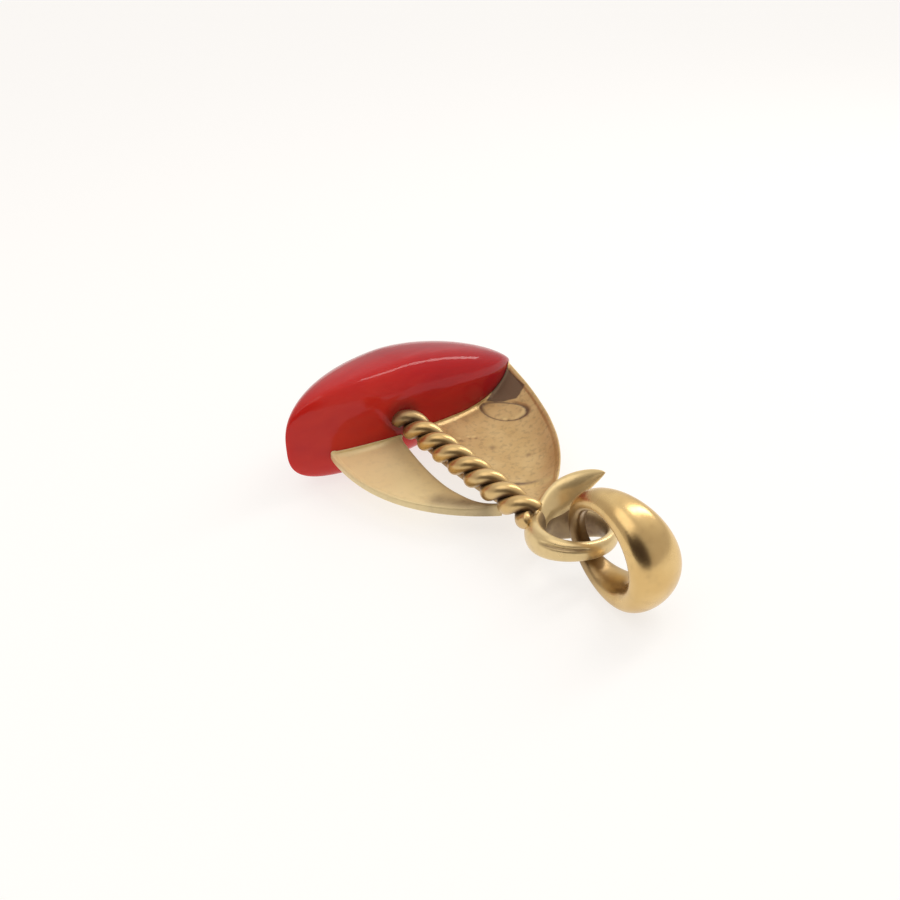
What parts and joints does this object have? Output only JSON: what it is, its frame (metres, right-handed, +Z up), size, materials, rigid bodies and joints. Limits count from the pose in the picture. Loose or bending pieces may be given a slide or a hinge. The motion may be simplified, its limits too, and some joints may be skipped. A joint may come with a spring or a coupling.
{
  "type": "sailing-boat pendant",
  "caption": "Small pendant shaped as a sailing boat: polished red stone hull, twisted-wire mast with gold sheet sails, top loop with a pointed spur, and a loose tapered bail.",
  "frame": {"origin": "middle of the lying pendant's footprint, on the surface it lies on", "axes": "+Y runs along the mast from the bail to the stone hull, +X towards the hull's pointed end, and +Z up from the surface that the pendant lies on"},
  "size_m": [0.0156, 0.0238, 0.0061],
  "materials": {
    "stone": "polished",
    "gold": "polished"
  },
  "bodies": {
    "root": {"stone_hull": "stone", "rigging": "gold", "bail": "gold"}
  },
  "joints": []
}
